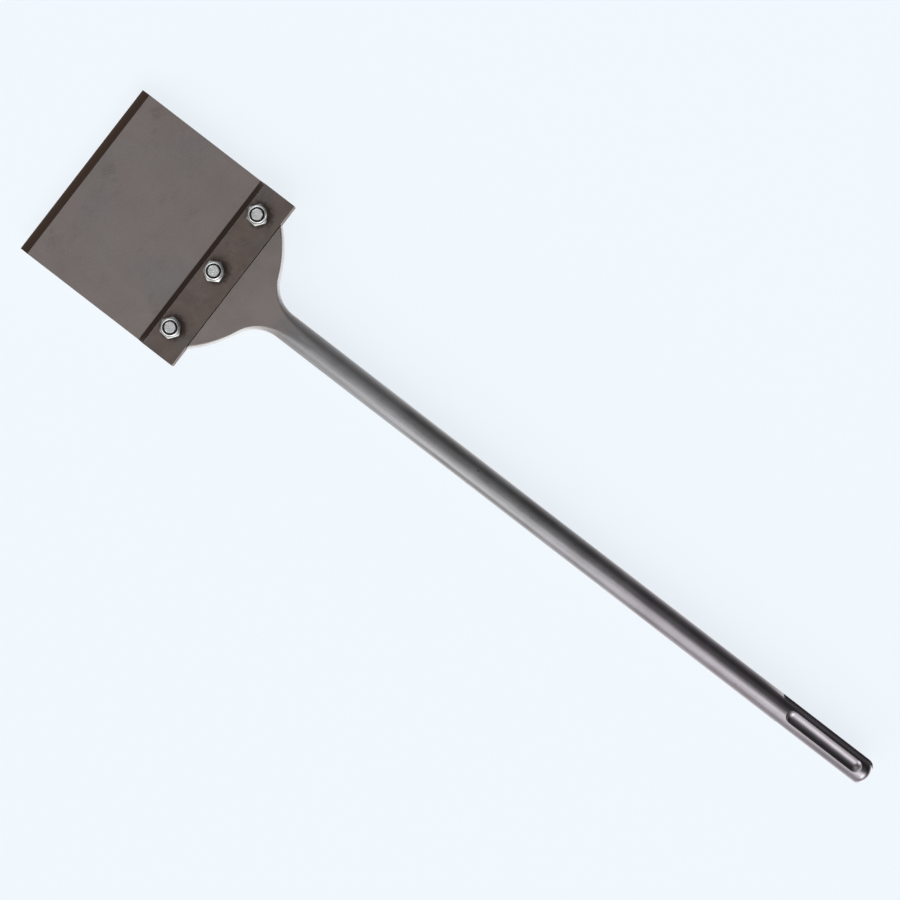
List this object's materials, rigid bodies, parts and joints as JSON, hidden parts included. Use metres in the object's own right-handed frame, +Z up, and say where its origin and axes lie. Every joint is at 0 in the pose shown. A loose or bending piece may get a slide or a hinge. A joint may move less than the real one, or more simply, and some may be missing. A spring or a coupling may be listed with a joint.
{
  "type": "floor scraper chisel",
  "caption": "Wide floor scraper chisel for a demolition hammer: slotted round shank, forged flat head and a replaceable blade held by a bolted clamp plate.",
  "frame": {"origin": "centre of the struck end face of the shank, on the rod's axis", "axes": "+X out of the struck end, away from the blade; +Z up through the nuts, with the tool lying flat; +Y along the cutting edge"},
  "size_m": [0.6445, 0.13, 0.0286],
  "materials": {
    "forged_steel": "forged and blasted head running into a polished dark rod",
    "blade_steel": "satin hardened steel, darker on the ground bevel",
    "oxidised_steel": "dark heat-treated, satin",
    "zinc_plated_steel": "bright zinc plating",
    "nylon": "plain dark nylon"
  },
  "bodies": {
    "chisel": {"chisel_body": "forged_steel", "bolt_left": "zinc_plated_steel", "bolt_middle": "zinc_plated_steel", "bolt_right": "zinc_plated_steel"},
    "blade": {"scraper_blade": "blade_steel"},
    "clamp": {"clamp_plate": "oxidised_steel"},
    "nut_left": {"lock_nut_left": "zinc_plated_steel", "nylon_insert_left": "nylon"},
    "nut_middle": {"lock_nut_middle": "zinc_plated_steel", "nylon_insert_middle": "nylon"},
    "nut_right": {"lock_nut_right": "zinc_plated_steel", "nylon_insert_right": "nylon"}
  },
  "joints": [
    {"name": "blade_draw", "type": "slide", "parent": "chisel", "child": "blade", "axis": [-1, 0, 0], "range_m": [0, 0.03]},
    {"name": "clamp_lift", "type": "slide", "parent": "chisel", "child": "clamp", "axis": [0, 0, 1], "range_m": [0, 0.005]},
    {"name": "nut_left_turn", "type": "hinge", "parent": "clamp", "child": "nut_left", "pos_m": [-0.5337, -0.0458, 0.0072], "axis": [0, 0, 1], "range_deg": [0, 1440]},
    {"name": "nut_middle_turn", "type": "hinge", "parent": "clamp", "child": "nut_middle", "pos_m": [-0.5337, 0, 0.0072], "axis": [0, 0, 1], "range_deg": [0, 1440]},
    {"name": "nut_right_turn", "type": "hinge", "parent": "clamp", "child": "nut_right", "pos_m": [-0.5337, 0.0458, 0.0072], "axis": [0, 0, 1], "range_deg": [0, 1440]}
  ],
  "couplings": [
    {"joint": "nut_left_turn", "follows": "clamp_lift", "rad_per_m": 5026.5},
    {"joint": "nut_middle_turn", "follows": "clamp_lift", "rad_per_m": 5026.5},
    {"joint": "nut_right_turn", "follows": "clamp_lift", "rad_per_m": 5026.5}
  ]
}
